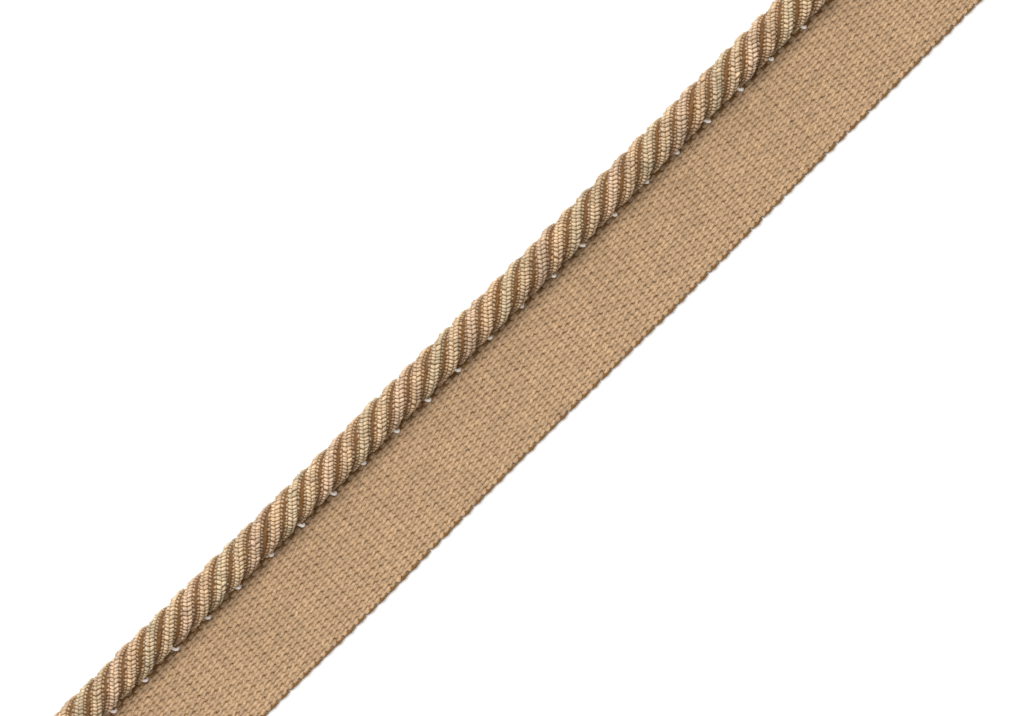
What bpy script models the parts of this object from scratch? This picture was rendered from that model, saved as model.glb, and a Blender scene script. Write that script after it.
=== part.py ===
"""A cut length of flanged cord trim: a four-strand twisted cord along the edge of a woven tape.

Units are metres and +Z is up. X runs along the trim, the cord lies on the +Y side, and the tape
lies flat on z = 0. The origin is the middle of the trim's underside.
"""

import math

import bmesh
import bpy

# Driving dimensions of the trim
LENGTH = 0.165
OVERALL_WIDTH = 0.0195
CORD_DIAMETER = 0.005
TAPE_THICKNESS = 0.001
TAPE_UNDER_CORD = 0.0029
SOFT_GAP = 0.0003

# The cord's strands. The hand of the lay is that of a left-handed screw, and the first strand
# comes to the cord's outer side at FIRST_CREST.
STRANDS = 4
LAY = 0.01292
FIRST_CREST = -0.00207
STRAND_THICKNESS = 0.0018
STRAND_WIDTH = 0.0023
GROOVE_RADIUS = 0.0016
POINTS_A_STRAND = 6
STEPS_A_TURN = 16

# The tape: the bare lip ends just short of the cord's side, and the seam presses the strip under
# the cord a little thinner over a short slope. The lip narrows towards +X and the edges wander.
LIP_CLEAR = 0.0002
SEAM_PRESS = 0.0001
SEAM_SLOPE = 0.0006
LIP_NARROWING = 0.00042
OUTER_WANDER = 0.00012
INNER_WANDER = 0.00008
WANDER_LENGTHS = (0.047, 0.019)
TAPE_STATION = 0.0025
EDGE_ROUNDING = 0.0003

CORD_RADIUS = CORD_DIAMETER / 2
CORD_Y = OVERALL_WIDTH / 2 - CORD_RADIUS
CORD_Z = TAPE_THICKNESS - SEAM_PRESS + SOFT_GAP + CORD_RADIUS
TAPE_OUTER_Y = -OVERALL_WIDTH / 2
TAPE_INNER_Y = OVERALL_WIDTH / 2 - CORD_DIAMETER + TAPE_UNDER_CORD
LIP_Y = OVERALL_WIDTH / 2 - CORD_DIAMETER - LIP_CLEAR
PRESSED_Y = LIP_Y + SEAM_SLOPE


def clear_scene():
    for thing in list(bpy.data.objects):
        bpy.data.objects.remove(thing, do_unlink=True)


def yarn_material(name, colour, roughness):
    material = bpy.data.materials.new(name)
    material.use_nodes = True
    shader = material.node_tree.nodes["Principled BSDF"]
    shader.inputs["Base Color"].default_value = (*colour, 1.0)
    shader.inputs["Roughness"].default_value = roughness
    shader.inputs["Metallic"].default_value = 0.0
    material.diffuse_color = (*colour, 1.0)
    return material


def add_object(name, bm, material):
    bmesh.ops.recalc_face_normals(bm, faces=bm.faces[:])
    mesh = bpy.data.meshes.new(name)
    bm.to_mesh(mesh)
    bm.free()
    mesh.materials.append(material)
    thing = bpy.data.objects.new(name, mesh)
    bpy.context.scene.collection.objects.link(thing)
    return thing


def section_radius(angle):
    """The cord's radius at an angle from a strand's middle: an oval strand, or the groove's floor."""
    spacing = math.tau / STRANDS
    off = (angle + spacing / 2) % spacing - spacing / 2
    half_thick = STRAND_THICKNESS / 2
    half_wide = STRAND_WIDTH / 2
    centre = CORD_RADIUS - half_thick
    # The ray at this angle meets the oval where a r^2 - 2 b r + c = 0
    a = (math.cos(off) / half_thick) ** 2 + (math.sin(off) / half_wide) ** 2
    b = math.cos(off) * centre / half_thick**2
    c = (centre / half_thick) ** 2 - 1
    root = b * b - a * c
    if root < 0:
        return GROOVE_RADIUS
    return max(GROOVE_RADIUS, (b + math.sqrt(root)) / a)


def cord_ring(bm, x):
    """One section of the cord at x, turned by the lay between there and the first crest."""
    count = STRANDS * POINTS_A_STRAND
    turned = -math.tau * (x - FIRST_CREST) / LAY
    ring = []
    for step in range(count):
        angle = math.tau * step / count
        radius = section_radius(angle)
        y = CORD_Y + radius * math.cos(angle + turned)
        z = CORD_Z + radius * math.sin(angle + turned)
        ring.append(bm.verts.new((x, y, z)))
    return ring


def build_cord():
    bm = bmesh.new()
    steps = round(LENGTH / LAY * STEPS_A_TURN)
    rings = [cord_ring(bm, LENGTH * (step / steps - 0.5)) for step in range(steps + 1)]
    for ring, following in zip(rings, rings[1:]):
        for i, corner in enumerate(ring):
            beside = (i + 1) % len(ring)
            bm.faces.new((corner, ring[beside], following[beside], following[i]))
    cut_ends = [bm.faces.new(rings[0]), bm.faces.new(rings[-1])]
    bmesh.ops.poke(bm, faces=cut_ends)
    cord = add_object("cord", bm, yarn_material("cord_yarn", (0.43, 0.29, 0.17), 0.8))
    cord.data.shade_smooth()
    cord.data.set_sharp_from_angle(angle=math.radians(50))
    return cord


def wander(x, reach, phase):
    """A slow, small unevenness of a woven edge: never outside its stated line."""
    slow, quick = WANDER_LENGTHS
    swing = 0.6 * math.sin(math.tau * x / slow + phase) + 0.4 * math.sin(math.tau * x / quick - phase)
    return reach * (1 + swing) / 2


def build_tape():
    """The bare lip and the pressed strip under the cord, as one sheet with its edges rounded."""
    bm = bmesh.new()
    stations = round(LENGTH / TAPE_STATION)
    rows = []
    for step in range(stations + 1):
        x = LENGTH * (step / stations - 0.5)
        narrowed = LIP_NARROWING * step / stations
        outer = TAPE_OUTER_Y + narrowed + wander(x, OUTER_WANDER, 0.7)
        inner = TAPE_INNER_Y - wander(x, INNER_WANDER, 2.1)
        rows.append([bm.verts.new((x, y, 0)) for y in (outer, LIP_Y, PRESSED_Y, inner)])
    for row, following in zip(rows, rows[1:]):
        for i in range(len(row) - 1):
            bm.faces.new((row[i], following[i], following[i + 1], row[i + 1]))
    raised = bmesh.ops.extrude_face_region(bm, geom=bm.faces[:])
    for point in raised["geom"]:
        if isinstance(point, bmesh.types.BMVert):
            pressed = SEAM_PRESS if point.co.y > (LIP_Y + PRESSED_Y) / 2 else 0
            point.co.z = TAPE_THICKNESS - pressed
    tape = add_object("tape", bm, yarn_material("tape_weave", (0.48, 0.31, 0.175), 0.88))
    rounding = tape.modifiers.new("woven edges", "BEVEL")
    rounding.width = EDGE_ROUNDING
    rounding.segments = 2
    rounding.limit_method = "ANGLE"
    rounding.angle_limit = math.radians(40)
    tape.data.shade_smooth()
    tape.data.set_sharp_from_angle(angle=math.radians(50))
    return tape


def main():
    clear_scene()
    build_cord()
    build_tape()


main()
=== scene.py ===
"""The looks of a cut length of flanged cord trim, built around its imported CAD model.

The cord's four strands, the warp ends and the weft of its tape, and the thread of its seam are modelled as
yarns that lie where the CAD model's cord and tape are. X runs along the trim, the cord lies on the +Y side
and the tape lies flat on z = 0. The settings are in metres, as Blender shows lengths.
"""

import math

import bpy
import numpy as np
from bpy.props import FloatProperty, FloatVectorProperty, IntProperty, PointerProperty
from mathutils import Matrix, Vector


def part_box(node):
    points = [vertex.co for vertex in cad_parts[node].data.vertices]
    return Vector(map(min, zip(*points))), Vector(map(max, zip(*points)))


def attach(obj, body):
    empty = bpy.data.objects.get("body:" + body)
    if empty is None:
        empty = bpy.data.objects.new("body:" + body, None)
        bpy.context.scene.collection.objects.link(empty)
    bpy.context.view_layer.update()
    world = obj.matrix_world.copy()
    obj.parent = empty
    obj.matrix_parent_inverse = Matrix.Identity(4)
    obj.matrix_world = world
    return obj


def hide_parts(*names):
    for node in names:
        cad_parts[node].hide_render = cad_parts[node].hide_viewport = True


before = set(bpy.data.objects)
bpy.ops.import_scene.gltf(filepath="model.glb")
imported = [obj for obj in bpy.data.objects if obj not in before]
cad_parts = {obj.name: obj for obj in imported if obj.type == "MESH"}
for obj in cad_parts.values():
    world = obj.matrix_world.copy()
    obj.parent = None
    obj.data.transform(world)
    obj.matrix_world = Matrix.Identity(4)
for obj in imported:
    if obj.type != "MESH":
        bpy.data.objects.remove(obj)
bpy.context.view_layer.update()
CORD_LOW, CORD_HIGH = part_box("cord")
TAPE_LOW, TAPE_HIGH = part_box("tape")

bl_info = {
    "name": "Flanged Cord Trim",
    "version": (1, 0, 0),
    "blender": (4, 5, 0),
    "location": "3D View > Sidebar > Cord Trim",
    "description": "Twisted cord, woven tape and seam thread of a flanged cord trim",
    "category": "Add Mesh",
}

BODY = "root"
MM = 0.001

# How far the cord's axis and the tape's two edges stray, in millimetres, at places along the trim
CORD_DRIFT = (
    (-82.5, -62, -45, -28, -12, 6, 20, 40, 60, 82.5),
    (0.20, 0.14, 0.03, -0.04, 0.02, -0.14, -0.08, -0.03, -0.02, -0.06),
)
OUTER_EDGE = (
    (-82.5, -51, -36, -25, -15, 6, 18, 30, 42, 55, 68, 82.5),
    (-9.66, -9.69, -9.81, -9.63, -9.50, -9.52, -9.59, -9.49, -9.32, -9.30, -9.24, -9.26),
)
INNER_EDGE = (
    (-82.5, -50, -20, 10, 40, 82.5),
    (7.58, 7.55, 7.61, 7.54, 7.60, 7.56),
)


# Settings


class CordSettings(bpy.types.PropertyGroup):
    """Sizes and colours of the twisted cord."""

    lay: FloatProperty(
        name="Lay",
        description="Length along the cord in which a strand goes once round",
        default=0.01292,
        min=0.004,
        unit="LENGTH",
        precision=5,
    )
    first_crest: FloatProperty(
        name="First crest",
        description="Where the first strand comes to the cord's outer side",
        default=-0.00207,
        unit="LENGTH",
        precision=5,
    )
    helix_radius: FloatProperty(
        name="Strand circle",
        description="Radius of the circle that the strands' middles lie on",
        default=0.00153,
        min=0.0005,
        unit="LENGTH",
        precision=5,
    )
    strand_radius: FloatProperty(
        name="Strand half thickness",
        description="Half the thickness of one strand, to the tops of its loops",
        default=0.00099,
        min=0.0002,
        unit="LENGTH",
        precision=5,
    )
    strand_half_width: FloatProperty(
        name="Strand half width",
        description="Half the width of one strand, which its neighbours press flat",
        default=0.00107,
        min=0.0002,
        unit="LENGTH",
        precision=5,
    )
    loop_pitch: FloatProperty(
        name="Loop pitch",
        description="Distance between two loops of a strand, on the outside of the cord",
        default=0.00056,
        min=0.0001,
        unit="LENGTH",
        precision=5,
    )
    loop_height: FloatProperty(
        name="Loop height",
        description="How far the loops of a strand stand out",
        default=0.0003,
        min=0.0,
        unit="LENGTH",
        precision=5,
    )
    gold: FloatVectorProperty(
        name="Gold yarn",
        description="Colour of the first strand",
        default=(0.79, 0.587, 0.372),
        min=0.0,
        max=1.0,
        subtype="COLOR",
    )
    rose: FloatVectorProperty(
        name="Rose beige yarn",
        description="Colour of the second strand",
        default=(0.785, 0.567, 0.39),
        min=0.0,
        max=1.0,
        subtype="COLOR",
    )
    tan: FloatVectorProperty(
        name="Tan yarn",
        description="Colour of the third strand",
        default=(0.80, 0.567, 0.357),
        min=0.0,
        max=1.0,
        subtype="COLOR",
    )
    olive: FloatVectorProperty(
        name="Olive beige yarn",
        description="Colour of the fourth strand",
        default=(0.745, 0.592, 0.386),
        min=0.0,
        max=1.0,
        subtype="COLOR",
    )
    # Painted shade: the strands take this colour between their loops and on their flanks, where shade
    # falls
    groove: FloatVectorProperty(
        name="Groove",
        description="Colour of the yarn down between the loops",
        default=(0.19, 0.083, 0.02),
        min=0.0,
        max=1.0,
        subtype="COLOR",
    )
    # Painted shade: the filling yarns are dark stand-ins for the shade at the bottom of the grooves
    filling: FloatVectorProperty(
        name="Filling",
        description="Colour of the yarn at the bottom of the grooves",
        default=(0.24, 0.105, 0.024),
        min=0.0,
        max=1.0,
        subtype="COLOR",
    )
    filling_radius: FloatProperty(
        name="Filling circle",
        description="Radius of the circle that the middles of the filling yarns lie on",
        default=0.00164,
        min=0.0005,
        max=0.003,
        unit="LENGTH",
        precision=5,
    )
    filling_width: FloatProperty(
        name="Filling width",
        description="Width of a filling yarn",
        default=0.00078,
        min=0.0001,
        max=0.002,
        unit="LENGTH",
        precision=5,
    )


class TapeSettings(bpy.types.PropertyGroup):
    """Sizes and colours of the woven tape."""

    ends: IntProperty(
        name="Ends",
        description="Number of warp ends across the tape",
        default=33,
        min=4,
        max=80,
    )
    picks: IntProperty(
        name="Picks",
        description="Number of weft picks along the tape",
        default=167,
        min=4,
        max=400,
    )
    end_width: FloatProperty(
        name="End width",
        description="Width of a warp end on top of the weft",
        default=0.0005,
        unit="LENGTH",
        precision=5,
    )
    end_thickness: FloatProperty(
        name="End thickness",
        description="Thickness of a warp end",
        default=0.0004,
        unit="LENGTH",
        precision=5,
    )
    crimp: FloatProperty(
        name="Crimp",
        description="How far a warp end rises and dips from the tape's middle",
        default=0.00021,
        unit="LENGTH",
        precision=5,
    )
    weft_width: FloatProperty(
        name="Weft width",
        description="Width of the weft yarn",
        default=0.00101,
        unit="LENGTH",
        precision=5,
    )
    weft_thickness: FloatProperty(
        name="Weft thickness",
        description="Thickness of the weft yarn",
        default=0.0004,
        unit="LENGTH",
        precision=5,
    )
    weft_crimp: FloatProperty(
        name="Weft crimp",
        description="How far the weft rises and dips from the tape's middle",
        default=0.0002,
        unit="LENGTH",
        precision=5,
    )
    warp_colour: FloatVectorProperty(
        name="Warp",
        description="Colour of the warp yarn",
        default=(0.605, 0.408, 0.241),
        min=0.0,
        max=1.0,
        subtype="COLOR",
    )
    weft_colour: FloatVectorProperty(
        name="Weft",
        description="Colour of the weft yarn",
        default=(0.60, 0.402, 0.235),
        min=0.0,
        max=1.0,
        subtype="COLOR",
    )
    # Painted shade: the tape's yarns take this colour between their floats, on their sides, in the weft's
    # turns and under the cord
    gap_shade_colour: FloatVectorProperty(
        name="Gaps",
        description="Colour of the yarn down between the floats",
        default=(0.27, 0.128, 0.03),
        min=0.0,
        max=1.0,
        subtype="COLOR",
    )


class SeamSettings(bpy.types.PropertyGroup):
    """Sizes and colour of the seam that holds the cord to the tape."""

    stitch: FloatProperty(
        name="Stitch length",
        description="Distance from one stitch to the next",
        default=0.00575,
        unit="LENGTH",
        precision=5,
    )
    first_stitch: FloatProperty(
        name="First stitch",
        description="Where a stitch shows nearest to the trim's middle",
        default=-0.00108,
        unit="LENGTH",
        precision=5,
    )
    thread: FloatProperty(
        name="Thread",
        description="Thickness of the sewing thread",
        default=0.00039,
        unit="LENGTH",
        precision=5,
    )
    colour: FloatVectorProperty(
        name="Thread colour",
        description="Colour of the sewing thread",
        default=(1.0, 0.955, 0.9),
        min=0.0,
        max=1.0,
        subtype="COLOR",
    )


class StageSettings(bpy.types.PropertyGroup):
    """Floor, lights and camera."""

    turn: FloatProperty(
        name="Turn",
        description="How far the camera is turned, so that the trim runs across its corners",
        default=math.radians(44.8),
        subtype="ANGLE",
    )
    height: FloatProperty(
        name="Camera height",
        description="Height of the camera above the cord's axis",
        default=0.7482,
        unit="LENGTH",
    )
    lens: FloatProperty(
        name="Lens",
        description="Focal length of the camera, in millimetres",
        default=200.0,
        min=20.0,
    )
    key: FloatProperty(
        name="Key light",
        description="Strength of the broad light on the cord's side, in watts",
        default=23.8,
        min=0.0,
    )
    side: FloatProperty(
        name="Side light",
        description="Power of the low light on the cord's outer side",
        default=4.5,
        min=0.0,
        max=200.0,
        unit="POWER",
    )
    sky: FloatProperty(
        name="Sky",
        description="Strength of the even light from all round",
        default=0.25,
        min=0.0,
    )
    floor: FloatVectorProperty(
        name="Floor",
        description="Colour of the floor",
        default=(0.93, 0.93, 0.93),
        min=0.0,
        max=1.0,
        subtype="COLOR",
    )


# Mesh helpers

LINE_SAMPLES = 400
SOFTENED_SAMPLES = 12


def sway(rng, places, spacing, reach):
    """Slow random unevenness: a new value every so far along the places, eased in between."""
    first = places.min() - spacing
    count = int((places.max() - first) / spacing) + 3
    values = rng.uniform(-reach, reach, count)
    steps = (places - first) / spacing
    before = np.floor(steps).astype(int)
    share = steps - before
    share = share * share * (3 - 2 * share)
    return values[before] * (1 - share) + values[before + 1] * share


def along(table, x):
    """A measured line, such as an edge, at places x, with its corners softened. All in millimetres."""
    places, values = (np.array(column, float) for column in table)
    fine = np.linspace(places[0], places[-1], LINE_SAMPLES)
    line = np.interp(fine, places, values)
    window = np.hanning(2 * SOFTENED_SAMPLES + 1)
    soft = np.convolve(np.pad(line, SOFTENED_SAMPLES, mode="edge"), window / window.sum(), "valid")
    return np.interp(x, fine, soft)


def unit(vectors):
    """The vectors, each made 1 long."""
    return vectors / np.linalg.norm(vectors, axis=-1, keepdims=True)


def at_right_angles(vectors, direction):
    """Unit vectors: the part of each vector that is at right angles to the direction."""
    return unit(vectors - direction * (vectors * direction).sum(axis=1, keepdims=True))


def directions(line):
    """Unit directions along a line of points."""
    return unit(np.gradient(line, axis=0))


def tube(line, side, up, half_wide, half_thick, angles):
    """Rings of points round a line; side, up and the line's direction are at right angles."""
    wide = (half_wide[:, None] * np.cos(angles))[..., None]
    thick = (half_thick[:, None] * np.sin(angles))[..., None]
    return line[:, None] + side[:, None] * wide + up[:, None] * thick


def yarn_piece(name, tubes, marks, material):
    """One mesh of closed tubes, in millimetres, with marks as values at its points for the material."""
    points, quads, fans = [], [], []
    values = {mark: [] for mark in marks}
    base = 0
    for number, rings in enumerate(tubes):
        count, around = rings.shape[:2]
        here = base + np.arange(count * around).reshape(count, around)
        beside = np.roll(here, -1, axis=1)
        tip = base + count * around
        quads.append(np.stack([here[:-1], beside[:-1], beside[1:], here[1:]], axis=-1).reshape(-1, 4))
        fans.append(np.stack([beside[0], here[0], np.full(around, tip)], axis=-1))
        fans.append(np.stack([here[-1], beside[-1], np.full(around, tip + 1)], axis=-1))
        points += [rings.reshape(-1, 3), rings[[0, -1]].mean(axis=1)]
        for mark, fields in marks.items():
            field = fields[number]
            values[mark] += [field.reshape(count * around, -1), field[[0, -1]].mean(axis=1).reshape(2, -1)]
        base = tip + 2
    points = np.concatenate(points) * MM
    quads, fans = np.concatenate(quads), np.concatenate(fans)
    mesh = bpy.data.meshes.new(name)
    mesh.vertices.add(len(points))
    mesh.vertices.foreach_set("co", points.astype(np.float32).ravel())
    mesh.loops.add(quads.size + fans.size)
    mesh.loops.foreach_set("vertex_index", np.concatenate([quads.ravel(), fans.ravel()]).astype(np.int32))
    mesh.polygons.add(len(quads) + len(fans))
    starts = np.concatenate([np.arange(len(quads)) * 4, quads.size + np.arange(len(fans)) * 3])
    mesh.polygons.foreach_set("loop_start", starts.astype(np.int32))
    mesh.update(calc_edges=True)
    mesh.validate()
    for mark, fields in values.items():
        field = np.concatenate(fields).astype(np.float32)
        kind, slot = ("FLOAT", "value") if field.shape[1] == 1 else ("FLOAT_VECTOR", "vector")
        mesh.attributes.new(mark, kind, "POINT").data.foreach_set(slot, field.ravel())
    mesh.shade_smooth()
    mesh.materials.append(material)
    piece = bpy.data.objects.new(name, mesh)
    bpy.context.scene.collection.objects.link(piece)
    return piece


# Materials

# Where a yarn's colour goes from its painted shade colour to its lit colour, by the mark that carries
# painted light and shade, and how dry it is there
LIT_RANGE = (0.06, 0.68)
DEEP_DRYNESS = 0.9
LIT_DRYNESS = 0.62
DRIFT_SCALE = 160.0
NOISE_RANGE = (0.3, 0.7)
STREAK_RANGE = (0.36, 0.64)
STREAK_LEVEL = 0.95
SHEEN_COLOUR = (1.0, 0.9, 0.78, 1.0)

# Each yarn's finish: how far its colour flecks and drifts, its fibres across and along, how deep
# they are in colour and, in metres, in relief, and its sheen and shine
STRAND_FINISH = {
    "fleck": 0.22,
    "drift": 0.06,
    "fibres": (3.0, 3.0),
    "streaks": 0.2,
    "relief": 0.00005,
    "sheen": 0.22,
    "shine": 0.3,
}
FILLING_FINISH = {
    "fleck": 0.0,
    "drift": 0.1,
    "fibres": (2.0, 1.5),
    "streaks": 0.3,
    "relief": 0.00003,
    "sheen": 0.1,
    "shine": 0.4,
}
WARP_FINISH = {
    "fleck": 0.13,
    "drift": 0.03,
    "fibres": (2.2, 5.0),
    "streaks": 0.2,
    "relief": 0.00006,
    "sheen": 0.15,
    "shine": 0.4,
}
WEFT_FINISH = {**WARP_FINISH, "sheen": 0.12}
THREAD_FINISH = {
    "fleck": 0.0,
    "drift": 0.04,
    "fibres": (4.0, 1.5),
    "streaks": 0.06,
    "relief": 0.00002,
    "sheen": 0.8,
    "shine": 1.0,
}


def new_group(name, inputs, outputs):
    """An empty shader node group with its named inputs and outputs."""
    group = bpy.data.node_groups.new(name, "ShaderNodeTree")
    for label, kind, default in inputs:
        group.interface.new_socket(name=label, in_out="INPUT", socket_type=kind).default_value = default
    for label, kind in outputs:
        group.interface.new_socket(name=label, in_out="OUTPUT", socket_type=kind)
    return group, group.nodes.new("NodeGroupInput"), group.nodes.new("NodeGroupOutput")


def attribute(nodes, name):
    """An Attribute node that reads one of a yarn's marks."""
    node = nodes.new("ShaderNodeAttribute")
    node.attribute_type = "GEOMETRY"
    node.attribute_name = name
    return node


def maths(nodes, links, operation, *values):
    """A Math node, fed by sockets or numbers; returns its output."""
    node = nodes.new("ShaderNodeMath")
    node.operation = operation
    for socket, value in zip(node.inputs, values):
        if isinstance(value, (int, float)):
            socket.default_value = value
        else:
            links.new(value, socket)
    return node.outputs[0]


def ranged(nodes, links, value, low, high, to_low, to_high, kind="LINEAR"):
    """A Map Range node; returns its output."""
    node = nodes.new("ShaderNodeMapRange")
    node.interpolation_type = kind
    links.new(value, node.inputs["Value"])
    for label, number in (("From Min", low), ("From Max", high), ("To Min", to_low), ("To Max", to_high)):
        node.inputs[label].default_value = number
    return node.outputs["Result"]


def mixed(nodes, links, blend, share, first, second):
    """A colour Mix node; returns its output. Each value is a socket, or a number or colour."""
    node = nodes.new("ShaderNodeMix")
    node.data_type = "RGBA"
    node.blend_type = blend
    for index, value in ((0, share), (6, first), (7, second)):
        if isinstance(value, bpy.types.NodeSocket):
            links.new(value, node.inputs[index])
        else:
            node.inputs[index].default_value = value
    return node.outputs[2]


def yarn_tint_and_shade_group():
    """Yarn colour: painted shade between the loops, painted light on top, flecked from loop to loop and
    slowly drifting.
    """
    group, given, put_out = new_group(
        "Yarn Tint",
        (
            ("Lit Colour", "NodeSocketColor", (0.6, 0.42, 0.27, 1.0)),
            ("Deep Colour", "NodeSocketColor", (0.3, 0.16, 0.07, 1.0)),
            ("Fleck Amount", "NodeSocketFloat", 0.2),
            ("Drift Amount", "NodeSocketFloat", 0.1),
        ),
        (("Colour", "NodeSocketColor"), ("Dryness", "NodeSocketFloat")),
    )
    nodes, links = group.nodes, group.links
    rise = attribute(nodes, "rise").outputs["Fac"]
    fleck = attribute(nodes, "fleck").outputs["Fac"]
    lit = ranged(nodes, links, rise, *LIT_RANGE, 0.0, 1.0, "SMOOTHSTEP")
    colour = mixed(nodes, links, "MIX", lit, given.outputs["Deep Colour"], given.outputs["Lit Colour"])
    place = nodes.new("ShaderNodeTexCoord")
    drift = nodes.new("ShaderNodeTexNoise")
    drift.inputs["Scale"].default_value = DRIFT_SCALE
    drift.inputs["Detail"].default_value = 3.0
    links.new(place.outputs["Object"], drift.inputs["Vector"])
    drifting = ranged(nodes, links, drift.outputs["Fac"], *NOISE_RANGE, -1.0, 1.0)
    bright = maths(nodes, links, "MULTIPLY", fleck, given.outputs["Fleck Amount"])
    slow = maths(nodes, links, "MULTIPLY", drifting, given.outputs["Drift Amount"])
    level = maths(nodes, links, "ADD", maths(nodes, links, "ADD", bright, slow), 1.0)
    grey = nodes.new("ShaderNodeCombineColor")
    for label in ("Red", "Green", "Blue"):
        links.new(level, grey.inputs[label])
    flecked = mixed(nodes, links, "MULTIPLY", 1.0, colour, grey.outputs[0])
    links.new(flecked, put_out.inputs["Colour"])
    dryness = ranged(nodes, links, lit, 0.0, 1.0, DEEP_DRYNESS, LIT_DRYNESS)
    links.new(dryness, put_out.inputs["Dryness"])
    return group


def fibre_grain_group():
    """Fine fibres that lie along a yarn, as a height for bump and as a mask for colour."""
    group, given, put_out = new_group(
        "Fibre Grain",
        (
            ("Fibres Across", "NodeSocketFloat", 9.0),
            ("Fibre Length", "NodeSocketFloat", 1.5),
            ("Streak Depth", "NodeSocketFloat", 0.2),
        ),
        (("Height", "NodeSocketFloat"), ("Streak", "NodeSocketFloat")),
    )
    nodes, links = group.nodes, group.links
    lie = nodes.new("ShaderNodeSeparateXYZ")
    links.new(attribute(nodes, "fibre").outputs["Vector"], lie.inputs[0])
    place = nodes.new("ShaderNodeCombineXYZ")
    for index, label in enumerate(("Fibres Across", "Fibre Length")):
        stretched = maths(nodes, links, "MULTIPLY", lie.outputs[index], given.outputs[label])
        links.new(stretched, place.inputs[index])
    links.new(lie.outputs[2], place.inputs[2])
    grain = nodes.new("ShaderNodeTexNoise")
    grain.inputs["Scale"].default_value = 1.0
    grain.inputs["Detail"].default_value = 2.0
    grain.inputs["Roughness"].default_value = 0.6
    links.new(place.outputs[0], grain.inputs["Vector"])
    height = ranged(nodes, links, grain.outputs["Fac"], *NOISE_RANGE, 0.0, 1.0)
    links.new(height, put_out.inputs["Height"])
    swing = ranged(nodes, links, grain.outputs["Fac"], *STREAK_RANGE, -1.0, 1.0)
    depth = maths(nodes, links, "MULTIPLY", swing, given.outputs["Streak Depth"])
    links.new(maths(nodes, links, "ADD", depth, STREAK_LEVEL), put_out.inputs["Streak"])
    return group


def yarn_material(name, lit, deep, fleck, drift, fibres, streaks, relief, sheen, shine):
    """A yarn's material: its tint, its fibres as streaks and relief, and a soft sheen."""
    material = bpy.data.materials.new(name)
    material.use_nodes = True
    material.diffuse_color = (*lit, 1.0)
    nodes, links = material.node_tree.nodes, material.node_tree.links
    shader = nodes["Principled BSDF"]
    tint = nodes.new("ShaderNodeGroup")
    tint.node_tree = bpy.data.node_groups.get("Yarn Tint") or yarn_tint_and_shade_group()
    tint.inputs["Lit Colour"].default_value = (*lit, 1.0)
    # The shade colour is painted shade, which the tint mixes in where the mark asks for it
    tint.inputs["Deep Colour"].default_value = (*deep, 1.0)
    tint.inputs["Fleck Amount"].default_value = fleck
    tint.inputs["Drift Amount"].default_value = drift
    grain = nodes.new("ShaderNodeGroup")
    grain.node_tree = bpy.data.node_groups.get("Fibre Grain") or fibre_grain_group()
    grain.inputs["Fibres Across"].default_value = fibres[0]
    grain.inputs["Fibre Length"].default_value = fibres[1]
    grain.inputs["Streak Depth"].default_value = streaks
    streak = nodes.new("ShaderNodeCombineColor")
    for label in ("Red", "Green", "Blue"):
        links.new(grain.outputs["Streak"], streak.inputs[label])
    links.new(
        mixed(nodes, links, "MULTIPLY", 1.0, tint.outputs["Colour"], streak.outputs[0]),
        shader.inputs["Base Color"],
    )
    links.new(tint.outputs["Dryness"], shader.inputs["Roughness"])
    bump = nodes.new("ShaderNodeBump")
    bump.inputs["Strength"].default_value = 1.0
    bump.inputs["Distance"].default_value = relief
    links.new(grain.outputs["Height"], bump.inputs["Height"])
    links.new(bump.outputs["Normal"], shader.inputs["Normal"])
    shader.inputs["Metallic"].default_value = 0.0
    shader.inputs["Specular IOR Level"].default_value = shine
    shader.inputs["Sheen Weight"].default_value = sheen
    shader.inputs["Sheen Roughness"].default_value = 0.5
    shader.inputs["Sheen Tint"].default_value = SHEEN_COLOUR
    return material


# Cord

# A strand's loops lie in columns round it that slant by turns one way and the other. The columns on
# its open side, away from the cord's middle, have the most points.
STRANDS = 4
LOOP_COLUMNS = 8
OPEN_COLUMNS = 4
POINTS_A_COLUMN = 5
INSIDE_POINTS = 3
RINGS_A_LOOP = 5
COLUMN_OFFSET = 0.38
FLAT_SLANT = -0.65
STEEP_SLANT = 0.1
LOOP_SIZES = (0.5, 1.15)
LOOP_CREST = 1.2
LOOP_FALL = 1.55
COLUMN_DIP = 0.6
INSIDE_RISE = 0.3

# The strands press each other flat, the cord lies a little lower than its solid, and its ends are
# cut square over a short way, all in millimetres but the slope
PRESS_SLOPE = 0.8
PRESS_GAP = 0.01
CORD_SINK = 0.27
SQUARE_END = 1.5

# Unevenness, as how far apart it changes and how much. The loops' stray and the patches count in
# loops, the strands' slip, circle and fullness in millimetres along the cord.
SHARED_SLIP = (7.0, 0.28)
OWN_SLIP = (4.5, 0.16)
HEIGHT_SWAY = (15.0, 0.03)
CIRCLE_SWAY = (6.0, 0.05)
FULLNESS_SWAY = (3.5, 0.03)
LOOP_STRAY = (2.5, 0.5)
PATCHES = (3.0, 0.7)
SHARED_SLIP_SEED = 411
OWN_SLIP_SEED = 412
HEIGHT_SEED = 419
STRAND_SEED = 500

# Painted shade on a strand: darkest between its loops and on its flanks, and darker towards the tape
FLECK_SPREAD = 0.55
FLECK_SHARE = 0.75
BETWEEN_LOOPS = 0.03
ON_FLANKS = 0.08
FLANK_START = 0.24
FLANK_SPAN = 0.64
TAPE_SIDE_SHADE = 0.55
TAPE_SIDE_SHADE_SLOPE = 0.4

# Filling yarns: dark stand-ins for the shade in the grooves, with painted shade in twisted bands along
# them and a shade colour darker still
FILLING_STEP = 0.35
FILLING_SIDES = 6
FILLING_MARGIN = 0.1
FILLING_SWAY = (1.5, 0.12)
FILLING_SEED = 440
FILLING_LIGHT = 0.45
FILLING_TWIST = 9.0
FILLING_CONTRAST = 0.35
FILLING_SHADE = 0.7
MIDDLE_WIDTH = 1.9


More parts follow.
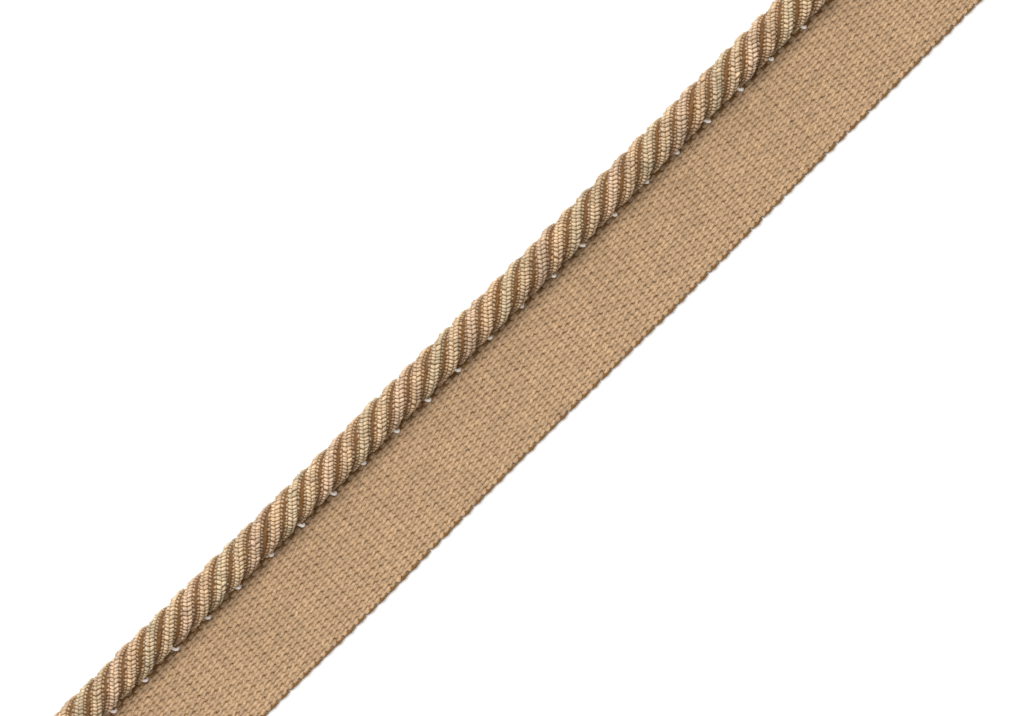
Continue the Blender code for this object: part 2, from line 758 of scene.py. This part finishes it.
def strand_angles():
    """Places round a strand: close together on the open side, and few on the side within the cord."""
    column = math.tau / LOOP_COLUMNS
    half_open = OPEN_COLUMNS * column / 2
    open_side = np.linspace(-half_open, half_open, OPEN_COLUMNS * POINTS_A_COLUMN + 1)
    inside = np.linspace(half_open, math.tau - half_open, INSIDE_POINTS + 2)[1:-1]
    return np.concatenate([open_side, inside])


def strand_turn(settings, number, x):
    """How far round the cord a strand lies at places x, as an angle."""
    shared = np.random.default_rng(SHARED_SLIP_SEED)
    own = np.random.default_rng(OWN_SLIP_SEED + number)
    lay = settings.lay / MM
    crest = settings.first_crest / MM + number * lay / STRANDS
    slip = sway(shared, x, *SHARED_SLIP) + sway(own, x, *OWN_SLIP)
    return -math.tau * (x - crest + slip) / lay


def cord_line(turned, circle, x):
    """A helix round the cord's middle, and the direction out of the cord there, in millimetres."""
    middle_y = (CORD_LOW.y + CORD_HIGH.y) / 2 / MM + along(CORD_DRIFT, x)
    middle_z = (CORD_LOW.z + CORD_HIGH.z) / 2 / MM - CORD_SINK
    middle_z = middle_z + sway(np.random.default_rng(HEIGHT_SEED), x, *HEIGHT_SWAY)
    line = np.stack([x, middle_y + circle * np.cos(turned), middle_z + circle * np.sin(turned)], axis=-1)
    out = np.stack([np.zeros_like(x), np.cos(turned), np.sin(turned)], axis=-1)
    return line, out


def loop_pattern(rng, steps, angles):
    """A strand's loops at each ring and angle: how far they stand out, their sizes, flecks and fibres."""
    columns = angles / (math.tau / LOOP_COLUMNS) + 0.5 * OPEN_COLUMNS
    column = np.floor(columns + 1e-6).astype(int)
    within = columns - column - 0.5
    slant = np.where(column % 2 == 0, FLAT_SLANT, STEEP_SLANT)
    strayed = np.stack([sway(rng, steps, *LOOP_STRAY) for _ in range(LOOP_COLUMNS + 1)])
    phase = steps[:, None] + COLUMN_OFFSET * column + slant * within + strayed[column].T
    loop = np.floor(phase).astype(int)
    all_loops = (LOOP_COLUMNS + 1, loop.max() + 2)
    flecks = np.clip(rng.normal(0, FLECK_SPREAD, all_loops), -1, 1)
    sizes = rng.uniform(*LOOP_SIZES, all_loops)
    patch = sway(rng, steps, *PATCHES)[:, None]
    fleck = np.clip(FLECK_SHARE * flecks[column, loop] + patch, -1, 1)
    off = 2 * (phase - loop) - 1
    across = 1 - COLUMN_DIP * abs(2 * within) ** 4
    # How far a loop stands out; the same value also sets its painted shade
    rise = np.clip(LOOP_CREST - LOOP_FALL * off**2, 0, 1) * across
    on_open_side = angles <= OPEN_COLUMNS * math.pi / LOOP_COLUMNS + 1e-6
    rise = np.where(on_open_side, rise, INSIDE_RISE)
    # Set apart, so that no two loops have the same fibres
    apart = loop * 0.37 + column * 5.1
    fibre = np.stack([phase, np.broadcast_to(within, phase.shape), apart], axis=-1)
    return rise, sizes[column, loop], fleck, fibre


def strand_painted_light(rise, angles, y):
    """Painted light on a strand at its points, from 0 in full painted shade to 1."""
    loops = BETWEEN_LOOPS + (1 - BETWEEN_LOOPS) * rise
    flank = np.clip((np.cos(angles) - FLANK_START) / FLANK_SPAN, 0, 1)
    flank = ON_FLANKS + (1 - ON_FLANKS) * flank
    tape_side_shade = np.clip(TAPE_SIDE_SHADE + TAPE_SIDE_SHADE_SLOPE * (y - CORD_LOW.y / MM), TAPE_SIDE_SHADE, 1)
    return loops * flank * tape_side_shade


def build_strand(settings, number, name, material):
    """One strand: a fine looped braid, as columns of slanting loops that run along a helix."""
    rng = np.random.default_rng(STRAND_SEED + number)
    thick, wide = settings.strand_radius / MM, settings.strand_half_width / MM
    circle = settings.helix_radius / MM
    outer_stretch = math.hypot(1, math.tau * (circle + thick) / (settings.lay / MM))
    x_a_loop = settings.loop_pitch / MM / outer_stretch
    low, high = CORD_LOW.x / MM, CORD_HIGH.x / MM
    rings = round((high - low) / x_a_loop * RINGS_A_LOOP)
    x = np.linspace(low, high, rings + 1)
    line, out = cord_line(strand_turn(settings, number, x), circle + sway(rng, x, *CIRCLE_SWAY), x)
    direction = directions(line)
    out = at_right_angles(out, direction)
    side = np.cross(direction, out)
    angles = strand_angles()
    rise, size, fleck, fibre = loop_pattern(rng, (x - low) / x_a_loop, angles)
    full = 1 + sway(rng, x, *FULLNESS_SWAY)[:, None]
    standing = settings.loop_height / MM * (rise * size - 1)
    outward = (thick + standing) * full * np.cos(angles)
    sideways = (wide + standing) * full * np.sin(angles)
    pressed = np.maximum(PRESS_SLOPE * (circle + outward) - PRESS_GAP, 0)
    sideways = np.clip(sideways, -pressed, pressed)
    points = line[:, None] + outward[..., None] * out[:, None] + sideways[..., None] * side[:, None]
    leaning = np.clip((high - abs(x)) / SQUARE_END, 0, 1)[:, None]
    points[..., 0] = x[:, None] + (points[..., 0] - x[:, None]) * leaning
    # Painted shade between the loops, on the flanks and low on the tape's side
    light = strand_painted_light(rise, angles, points[..., 1])
    marks = {"rise": [light], "fleck": [fleck], "fibre": [fibre]}
    return yarn_piece(name, [points], marks, material)


def filling_tubes(settings):
    """The filling yarns, dark stand-ins for the shade in the grooves: one at the bottom of each groove
    between two strands, and one in the middle.
    """
    low, high = CORD_LOW.x / MM, CORD_HIGH.x / MM
    steps = round((high - low) / FILLING_STEP)
    x = np.linspace(low + FILLING_MARGIN, high - FILLING_MARGIN, steps)
    angles = np.arange(FILLING_SIDES) * math.tau / FILLING_SIDES
    tubes, rises, flecks, fibres = [], [], [], []
    for number in range(STRANDS + 1):
        rng = np.random.default_rng(FILLING_SEED + number)
        turned = strand_turn(settings, number % STRANDS, x)
        beside = strand_turn(settings, (number + 1) % STRANDS, x)
        beside = beside + (math.tau if number % STRANDS == STRANDS - 1 else 0)
        in_groove = number < STRANDS
        circle = settings.filling_radius / MM if in_groove else 0.0
        line, out = cord_line((turned + beside) / 2, circle, x)
        direction = directions(line)
        out = at_right_angles(out, direction)
        width = settings.filling_width / MM * (1.0 if in_groove else MIDDLE_WIDTH)
        half = width / 2 * (1 + sway(rng, x, *FILLING_SWAY))
        tubes.append(tube(line, out, np.cross(direction, out), half, half, angles))
        # Painted shade in twisted bands along the filling yarns
        rise = FILLING_LIGHT + FILLING_CONTRAST * np.cos(angles[None] * 2 + x[:, None] * FILLING_TWIST)
        rises.append(rise)
        flecks.append(0 * rise)
        place = (x[:, None] * 2 + 0 * rise, angles[None] + 0 * rise, number + 0 * rise)
        fibres.append(np.stack(place, axis=-1))
    return tubes, {"rise": rises, "fleck": flecks, "fibre": fibres}


class TRIM_OT_cord(bpy.types.Operator):
    """Build the twisted cord: its four strands and the filling yarns between them"""

    bl_idname = "trim.build_cord"
    bl_label = "Twisted Cord"
    bl_options = {"REGISTER", "UNDO"}

    def execute(self, context):
        settings = context.scene.trim_cord
        for number, shade in enumerate(("gold", "rose", "tan", "olive")):
            # The groove colour is the strands' painted shade
            lit, deep = tuple(getattr(settings, shade)), tuple(settings.groove)
            finish = yarn_material(f"cord_yarn_{shade}", lit, deep, **STRAND_FINISH)
            strand = build_strand(settings, number, f"cord_strand_{shade}", finish)
            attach(strand, BODY)
            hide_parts("cord")
        tubes, marks = filling_tubes(settings)
        # The filling's shade colour is painted shade, darker than the filling itself
        lit, deep = tuple(settings.filling), tuple(share * FILLING_SHADE for share in settings.filling)
        finish = yarn_material("cord_filling", lit, deep, **FILLING_FINISH)
        filling = yarn_piece("cord_filling", tubes, marks, finish)
        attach(filling, BODY)
        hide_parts("cord")
        return {"FINISHED"}



# Tape

# Places round a yarn's section: across it, over its rounded upper side, and one point below. The two faces
# count as 1 for the upper one and -1 for the lower one, which takes painted shade.
YARN_ANGLES = np.radians((0, 42, 90, 138, 180, 270))
YARN_FACES = np.where(np.sin(YARN_ANGLES) >= -0.01, 1.0, -1.0)[None]
FIBRES_ROUND = 3
SAMPLES_A_PICK = 4
TAPE_MIDDLE_Z = 0.49
EDGE_INSET = 0.26

# Picks: how unevenly they are spaced, and slow waves by which they stray from square, each as a
# length, a phase and a reach. The stray grows with the distance from SQUARE_Y.
PICK_JITTER = 0.035
PICK_WAVES = ((11.0, 0.6, 0.10), (4.3, 2.0, 0.04))
SQUARE_Y = -1.0
STRAY_WIDTH = 9.0
BOW = 0.035
BOW_ACROSS = 3.1
BOW_ALONG = 9.0

# The seam draws the tape up to the cord along one line, but not where it was cut
SEAM_RISE = 0.62
SEAM_RISE_Y = 5.4
SEAM_RISE_WIDTH = 0.5
FLAT_END = 1.0
RISE_FADE = 4.0

# Warp ends: the flatness of their floats, how the floats lean and spread, the ranges by which one float
# differs from the next, and the painted shadow that the cord casts on them beside the seam
FLOAT_FLATNESS = 0.55
FLOAT_LEAN = 0.12
FLOAT_SPREAD = 0.2
RAGGED_END = (-0.05, 0.25)
CRIMP_RANGE = (0.88, 1.06)
LEAN_RANGE = (0.6, 1.3)
PLUMP_RANGE = (0.96, 1.1)
END_SWAYS = ((1.7, 0.05), (0.6, 0.025))
WARP_FLECKS = 0.5
CORD_SHADOW_Y = 4.2
CORD_SHADOW_WIDTH = 0.4
CORD_SHADOW_DEPTH = 0.9

# The weft's turns round the edges: at which shares of a pick, and how far out
TURN_SHARES = np.array([0.2, 0.5, 0.8])
TURN_REACH = np.array([0.08, 0.14, 0.08])
TURN_SWAY = (0.8, 0.4)
TURN_WIDTH = 0.42
# The turns are in painted shade, lit at most this much on their tops
TURN_LIGHT = 0.15
WEFT_SWELL = 0.08
WEFT_PLUMP = (2.0, 0.09)
WEFT_FLECKS = (2.0, 1.0)

PICK_SEED = 71
WEFT_PATH_SEED = 77
WEFT_SEED = 78
WARP_SEED = 1000


def pick_places(settings):
    """Where the picks cross the tape's middle line, unevenly spaced, with one more beyond each end."""
    rng = np.random.default_rng(PICK_SEED)
    low, high = TAPE_LOW.x / MM, TAPE_HIGH.x / MM
    spacing = (high - low) / settings.picks
    number = np.arange(-1, settings.picks + 1)
    places = low + (number + 0.5) * spacing
    return places + rng.normal(0, PICK_JITTER, len(places)) * (abs(places) < high - spacing)


def pick_lean(x, y):
    """How far a pick strays from square across the tape."""
    slow = sum(np.sin(x / length + phase) * reach for length, phase, reach in PICK_WAVES)
    bow = np.sin(y / BOW_ACROSS + x / BOW_ALONG) * BOW
    return slow * (y - SQUARE_Y) / STRAY_WIDTH + bow


def end_place(settings, end, x):
    """Across the tape, where a warp end lies at x. End -0.5 is the outer edge."""
    outer = along(OUTER_EDGE, x) + EDGE_INSET
    inner = along(INNER_EDGE, x) - EDGE_INSET
    return outer + (end + 0.5) * (inner - outer) / settings.ends


def drawn_up(x, y):
    """How far the seam draws the tape up to the cord's rounded underside."""
    near_end = np.clip((TAPE_HIGH.x / MM - FLAT_END - abs(x)) / RISE_FADE, 0, 1)
    return SEAM_RISE * near_end * np.exp(-(((y - SEAM_RISE_Y) / SEAM_RISE_WIDTH) ** 2))


def warp_painted_light(lift, y):
    """Painted light on a warp end: most on its floats, painted shade at its sides and float ends, and a
    painted shadow beside the seam.
    """
    above = (lift[:, None] * YARN_FACES + 1) / 2
    rounded = 0.02 + 0.98 * abs(np.sin(YARN_ANGLES)) ** 2.4
    light = np.clip(0.06 + 0.84 * (0.4 + 0.6 * above**0.8) * rounded, 0, 1)
    # Painted shadow of the cord on the tape beside the seam
    cord_shadow = np.clip((y - CORD_SHADOW_Y) / CORD_SHADOW_WIDTH, 0, 1)[:, None]
    return light * (1 - CORD_SHADOW_DEPTH * cord_shadow)


def warp_tube(settings, end, places):
    """One warp end, as rings of points and their marks."""
    rng = np.random.default_rng(WARP_SEED + end)
    turn = np.arange(-0.5, settings.picks - 0.5 + 1e-6, 1 / SAMPLES_A_PICK)
    x = np.interp(turn, np.arange(-1, settings.picks + 1), places)
    y = end_place(settings, end, x)
    x = x + pick_lean(x, y)
    x[0] = TAPE_LOW.x / MM + rng.uniform(*RAGGED_END)
    x[-1] = TAPE_HIGH.x / MM - rng.uniform(*RAGGED_END)
    wave = np.cos(math.pi * (turn + end))
    lift = np.sign(wave) * abs(wave) ** FLOAT_FLATNESS
    number = np.round(turn).astype(int) + 1
    floats = settings.picks + 3
    strength = rng.uniform(*CRIMP_RANGE, floats)[number]
    z = TAPE_MIDDLE_Z + drawn_up(x, y) + settings.crimp / MM * lift * strength
    for unevenness in END_SWAYS:
        y = y + sway(rng, x, *unevenness)
    y = y + FLOAT_LEAN * np.sin(math.tau * turn) * rng.uniform(*LEAN_RANGE, floats)[number]
    line = np.stack([x, y, z], axis=-1)
    direction = directions(line)
    side = at_right_angles(np.tile((0.0, 1.0, 0.0), (len(x), 1)), direction)
    plump = rng.uniform(*PLUMP_RANGE, floats)[number]
    half_wide = settings.end_width / MM / 2 * (1 + FLOAT_SPREAD * wave) * plump
    half_thick = settings.end_thickness / MM / 2 * (2 - plump)
    rings = tube(line, side, np.cross(direction, side), half_wide, half_thick, YARN_ANGLES)
    light = warp_painted_light(lift, y)
    flecks = np.clip(rng.normal(0, WARP_FLECKS, floats), -1, 1)[number]
    fleck = np.broadcast_to(flecks[:, None], light.shape)
    twist = YARN_ANGLES / math.tau * FIBRES_ROUND + x[:, None] * 1.1
    fibre = np.stack([twist, x[:, None] + 0 * twist, np.full(twist.shape, end * 3.7)], axis=-1)
    return rings, light, fleck, fibre


def weft_line(settings, places):
    """The weft's path to and fro across the tape, its place in picks, and how it rises and dips."""
    stops = np.arange(-0.5, settings.ends - 0.5 + 1e-6, 0.5)
    run, number, beyond = [], [], []
    for pick in range(settings.picks):
        forth = pick % 2 == 0
        across = stops if forth else stops[::-1]
        run.append(across)
        number.append(np.full(len(across), float(pick)))
        beyond.append(np.zeros(len(across)))
        if pick < settings.picks - 1:
            edge = settings.ends - 0.5 if forth else -0.5
            outward = 1.0 if forth else -1.0
            run.append(np.full(len(TURN_SHARES), edge))
            number.append(pick + TURN_SHARES)
            beyond.append(outward * TURN_REACH)
    run, number, beyond = (np.concatenate(part) for part in (run, number, beyond))
    x = np.interp(number, np.arange(-1, settings.picks + 1), places)
    y = end_place(settings, run, x)
    x = x + pick_lean(x, y)
    rng = np.random.default_rng(WEFT_PATH_SEED)
    y = y + beyond * (1 + sway(rng, number, *TURN_SWAY))
    crimped = -np.cos(math.pi * (run + number))
    z = TAPE_MIDDLE_Z + drawn_up(x, y) + settings.weft_crimp / MM * crimped
    return np.stack([x, y, z], axis=-1), number, crimped


def weft_painted_light(crimped, turning):
    """Painted light on the weft: most where it lies on top, and painted shade in its turns round the
    edges.
    """
    above = (1 + crimped[:, None] * YARN_FACES) / 2
    light = np.clip(0.05 + 0.85 * above**1.2 * (0.3 + 0.7 * abs(np.sin(YARN_ANGLES))), 0, 1)
    in_turn = TURN_LIGHT * np.clip(np.sin(YARN_ANGLES), 0, 1) ** 3
    return np.where(turning[:, None], in_turn, light)


def weft_tube(settings, places):
    """The whole weft as one yarn, as rings of points and their marks."""
    line, number, crimped = weft_line(settings, places)
    rng = np.random.default_rng(WEFT_SEED)
    direction = directions(line)
    side = unit(np.cross(np.array((0.0, 0.0, 1.0)), direction))
    step = np.arange(len(line)) * 1.0
    plump = 1 + sway(rng, step, *WEFT_PLUMP)
    turning = abs(number - np.round(number)) > 0.05
    swell = np.where(turning, TURN_WIDTH, 1 + WEFT_SWELL * crimped)
    half_wide = settings.weft_width / MM / 2 * plump * swell
    half_thick = settings.weft_thickness / MM / 2 * plump
    rings = tube(line, side, np.cross(direction, side), half_wide, half_thick, YARN_ANGLES)
    light = weft_painted_light(crimped, turning)
    # The turns also take the darkest fleck, as more painted shade
    flecks = np.where(turning, -1.0, sway(rng, step, *WEFT_FLECKS))
    fleck = np.broadcast_to(flecks[:, None], light.shape)
    twist = YARN_ANGLES / math.tau * FIBRES_ROUND + step[:, None] * 0.3
    fibre = np.stack([twist, step[:, None] * 0.25 + 0 * twist, 0 * twist], axis=-1)
    return rings, light, fleck, fibre


class TRIM_OT_tape(bpy.types.Operator):
    """Weave the tape: its warp ends in two pieces of every other end, and its weft"""

    bl_idname = "trim.weave_tape"
    bl_label = "Woven Tape"
    bl_options = {"REGISTER", "UNDO"}

    def execute(self, context):
        settings = context.scene.trim_tape
        # This colour is the tape's painted shade
        gap_shade = tuple(settings.gap_shade_colour)
        warp = yarn_material("tape_warp", tuple(settings.warp_colour), gap_shade, **WARP_FINISH)
        weft = yarn_material("tape_weft", tuple(settings.weft_colour), gap_shade, **WEFT_FINISH)
        places = pick_places(settings)
        made = []
        for name, first in (("tape_warp_odd", 0), ("tape_warp_even", 1)):
            parts = [warp_tube(settings, end, places) for end in range(first, settings.ends, 2)]
            tubes, rise, fleck, fibre = (list(part) for part in zip(*parts))
            made.append(yarn_piece(name, tubes, {"rise": rise, "fleck": fleck, "fibre": fibre}, warp))
        rings, rise, fleck, fibre = weft_tube(settings, places)
        marks = {"rise": [rise], "fleck": [fleck], "fibre": [fibre]}
        made.append(yarn_piece("tape_weft_yarn", [rings], marks, weft))
        for piece in made:
            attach(piece, BODY)
            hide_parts("tape")
        return {"FINISHED"}



# Seam

# The path of the thread, in millimetres: how far the seam stays from the cut ends, how unevenly the
# stitches lie along and across the seam, and how near to the floor the thread may come
SEAM_MARGIN = 1.5
SEAM_JITTER = 0.15
NEAR_JITTER = (0.02, 0.2)
FAR_JITTER = (-0.1, 0.1)
FLOOR_CLEARANCE = 0.01
SAMPLES_A_POINT = 4
SEAM_SIDES = 8
SEAM_SEED = 93

# A direction that the thread never takes, so that its section doesn't twist
STEADY = np.array((0.35, 0.2, 0.91))
THREAD_SHADE = (0.8, 0.75, 0.7)
# The thread glows a little: painted light that keeps it bright in the cord's shadow
THREAD_GLOW = 0.25


def stitch_points(x, near, far):
    """One stitch: up through the tape beside the cord, through the cord's underside and down again."""
    return np.array(
        [
            (x + 0.20, 4.58 + near, 0.16),
            (x + 0.18, 4.52 + near, 0.70),
            (x + 0.12, 4.42 + near, 1.30),
            (x, 4.40 + near, 1.72),
            (x - 0.12, 4.52 + near, 1.90),
            (x - 0.22, 4.78, 1.92),
            (x - 0.38, 5.30, 1.86),
            (x - 0.36, 6.10, 1.95),
            (x - 0.20, 6.80, 1.55),
            (x - 0.10, 7.06 + far, 0.95),
            (x - 0.05, 7.08 + far, 0.45),
            (x + 0.10, 7.00 + far, 0.15),
        ]
    )


def smooth_line(points, samples):
    """A Catmull-Rom curve through the points."""
    padded = np.concatenate([points[:1], points, points[-1:]])
    share = np.linspace(0, 1, samples, endpoint=False)[:, None]
    pieces = []
    for a, b, c, d in zip(padded, padded[1:], padded[2:], padded[3:]):
        square, cube = 2 * a - 5 * b + 4 * c - d, 3 * b - a - 3 * c + d
        pieces.append(0.5 * (2 * b + (c - a) * share + square * share**2 + cube * share**3))
    return np.concatenate(pieces + [points[-1:]])


def seam_line(settings):
    """The thread's path through all its stitches."""
    rng = np.random.default_rng(SEAM_SEED)
    stitch, first = settings.stitch / MM, settings.first_stitch / MM
    low, high = TAPE_LOW.x / MM + SEAM_MARGIN, TAPE_HIGH.x / MM - SEAM_MARGIN
    count = math.floor((first - low) / stitch)
    places = np.arange(first - count * stitch, high, stitch)
    places = places + rng.uniform(-SEAM_JITTER, SEAM_JITTER, len(places))
    route = [stitch_points(x, rng.uniform(*NEAR_JITTER), rng.uniform(*FAR_JITTER)) for x in places]
    line = smooth_line(np.concatenate(route), SAMPLES_A_POINT)
    line[:, 2] = np.maximum(line[:, 2], settings.thread / MM / 2 + FLOOR_CLEARANCE)
    return line


class TRIM_OT_seam(bpy.types.Operator):
    """Sew the cord to the tape with pale thread"""

    bl_idname = "trim.sew_seam"
    bl_label = "Seam Thread"
    bl_options = {"REGISTER", "UNDO"}

    def execute(self, context):
        settings = context.scene.trim_seam
        line = seam_line(settings)
        direction = directions(line)
        side = unit(np.cross(STEADY, direction))
        half = np.full(len(line), settings.thread / MM / 2)
        angles = np.arange(SEAM_SIDES) * math.tau / SEAM_SIDES
        rings = tube(line, side, np.cross(direction, side), half, half, angles)
        steps = np.arange(len(line))[:, None] * 0.5
        twist = angles[None] / math.tau * 2 + steps
        # Painted shade in bands between the thread's plies
        rise = 0.75 + 0.25 * np.cos(math.tau * twist)
        fibre = np.stack([twist, steps + 0 * twist, 0 * twist], axis=-1)
        lit = tuple(settings.colour)
        finish = yarn_material("seam_thread", lit, THREAD_SHADE, **THREAD_FINISH)
        shader = finish.node_tree.nodes["Principled BSDF"]
        # Painted light: the thread glows a little
        shader.inputs["Emission Color"].default_value = (*lit, 1.0)
        shader.inputs["Emission Strength"].default_value = THREAD_GLOW
        marks = {"rise": [rise], "fleck": [0 * rise], "fibre": [fibre]}
        thread = yarn_piece("seam_thread", [rings], marks, finish)
        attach(thread, BODY)
        return {"FINISHED"}



# Stage

FLOOR_SIZE = 8.0
FLOOR_GRAIN = 40.0
FLOOR_ROUGHNESS = (0.85, 0.95)
FLOOR_GLOW = 0.12

# Both lights are square and look at the trim's middle. The side light lies lower and further out,
# on the cord's side.
LIGHT_SIZE = 0.9
KEY_PLACE = (-0.15, 0.5, 1.52)
KEY_COLOUR = (1.0, 0.985, 0.96)
SIDE_PLACE = (-0.3, 1.4, 0.7)
SIDE_COLOUR = (1.0, 0.99, 0.97)

# The camera looks straight down, a little beside the trim's middle, in millimetres
CAMERA_X = -0.325
CAMERA_Y = 0.22
SENSOR_WIDTH = 36.0


def area_light(name, place, watts, colour):
    """A broad soft light that looks at the middle of the trim."""
    data = bpy.data.lights.new(name, "AREA")
    data.shape = "SQUARE"
    data.size = LIGHT_SIZE
    data.energy = watts
    data.color = colour
    light = bpy.data.objects.new(name, data)
    light.location = place
    light.rotation_euler = (-light.location).to_track_quat("-Z", "Y").to_euler()
    bpy.context.scene.collection.objects.link(light)


def floor_material(colour):
    """Plain pale paper, with the faintest unevenness."""
    material = bpy.data.materials.new("floor_paper")
    material.use_nodes = True
    nodes, links = material.node_tree.nodes, material.node_tree.links
    shader = nodes["Principled BSDF"]
    place = nodes.new("ShaderNodeTexCoord")
    paper = nodes.new("ShaderNodeTexNoise")
    paper.inputs["Scale"].default_value = FLOOR_GRAIN
    links.new(place.outputs["Object"], paper.inputs["Vector"])
    roughness = ranged(nodes, links, paper.outputs["Fac"], *NOISE_RANGE, *FLOOR_ROUGHNESS)
    links.new(roughness, shader.inputs["Roughness"])
    shader.inputs["Base Color"].default_value = (*colour, 1.0)
    shader.inputs["Specular IOR Level"].default_value = 0.0
    shader.inputs["Emission Color"].default_value = (1.0, 1.0, 1.0, 1.0)
    shader.inputs["Emission Strength"].default_value = FLOOR_GLOW
    return material


class TRIM_OT_stage(bpy.types.Operator):
    """Lay the floor and set up the lights, the sky and the camera"""

    bl_idname = "trim.set_stage"
    bl_label = "Floor, Lights and Camera"
    bl_options = {"REGISTER", "UNDO"}

    def execute(self, context):
        settings = context.scene.trim_stage
        half = FLOOR_SIZE / 2
        mesh = bpy.data.meshes.new("floor")
        corners = [(-half, -half, 0), (half, -half, 0), (half, half, 0), (-half, half, 0)]
        mesh.from_pydata(corners, [], [(0, 1, 2, 3)])
        mesh.materials.append(floor_material(tuple(settings.floor)))
        floor = bpy.data.objects.new("floor", mesh)
        context.scene.collection.objects.link(floor)
        area_light("key_light", KEY_PLACE, settings.key, KEY_COLOUR)
        area_light("side_light", SIDE_PLACE, settings.side, SIDE_COLOUR)
        world = bpy.data.worlds.new("sky")
        world.use_nodes = True
        sky = world.node_tree.nodes["Background"]
        sky.inputs["Color"].default_value = (1.0, 1.0, 1.0, 1.0)
        sky.inputs["Strength"].default_value = settings.sky
        context.scene.world = world
        data = bpy.data.cameras.new("camera")
        data.type = "PERSP"
        data.sensor_width = SENSOR_WIDTH
        data.lens = settings.lens
        data.clip_start = 0.01
        data.clip_end = 20.0
        camera = bpy.data.objects.new("camera", data)
        axis = (CORD_LOW.z + CORD_HIGH.z) / 2
        camera.location = (CAMERA_X * MM, CAMERA_Y * MM, axis + settings.height)
        camera.rotation_euler = (0.0, 0.0, -settings.turn)
        context.scene.collection.objects.link(camera)
        context.scene.camera = camera
        context.scene.view_settings.view_transform = "Standard"
        return {"FINISHED"}


# Panel


class TRIM_PT_panel(bpy.types.Panel):
    """Sizes and colours of the trim, and a button for each of its pieces"""

    bl_label = "Cord Trim"
    bl_idname = "TRIM_PT_panel"
    bl_space_type = "VIEW_3D"
    bl_region_type = "UI"
    bl_category = "Cord Trim"

    def draw(self, context):
        scene = context.scene
        groups = (
            (scene.trim_cord, TRIM_OT_cord),
            (scene.trim_tape, TRIM_OT_tape),
            (scene.trim_seam, TRIM_OT_seam),
            (scene.trim_stage, TRIM_OT_stage),
        )
        for settings, operator in groups:
            box = self.layout.box()
            for name in settings.__annotations__:
                box.prop(settings, name)
            box.operator(operator.bl_idname)


CLASSES = (
    CordSettings,
    TapeSettings,
    SeamSettings,
    StageSettings,
    TRIM_OT_cord,
    TRIM_OT_tape,
    TRIM_OT_seam,
    TRIM_OT_stage,
    TRIM_PT_panel,
)


def register():
    """Make the settings, the operators and the panel known to Blender."""
    for kind in CLASSES:
        bpy.utils.register_class(kind)
    bpy.types.Scene.trim_cord = PointerProperty(type=CordSettings)
    bpy.types.Scene.trim_tape = PointerProperty(type=TapeSettings)
    bpy.types.Scene.trim_seam = PointerProperty(type=SeamSettings)
    bpy.types.Scene.trim_stage = PointerProperty(type=StageSettings)


def unregister():
    """Take back what register did."""
    for name in ("trim_stage", "trim_seam", "trim_tape", "trim_cord"):
        delattr(bpy.types.Scene, name)
    for kind in reversed(CLASSES):
        bpy.utils.unregister_class(kind)


def main():
    """Build all the pieces and the stage."""
    register()
    bpy.ops.trim.build_cord()
    bpy.ops.trim.weave_tape()
    bpy.ops.trim.sew_seam()
    bpy.ops.trim.set_stage()


if __name__ == "__main__":
    main()
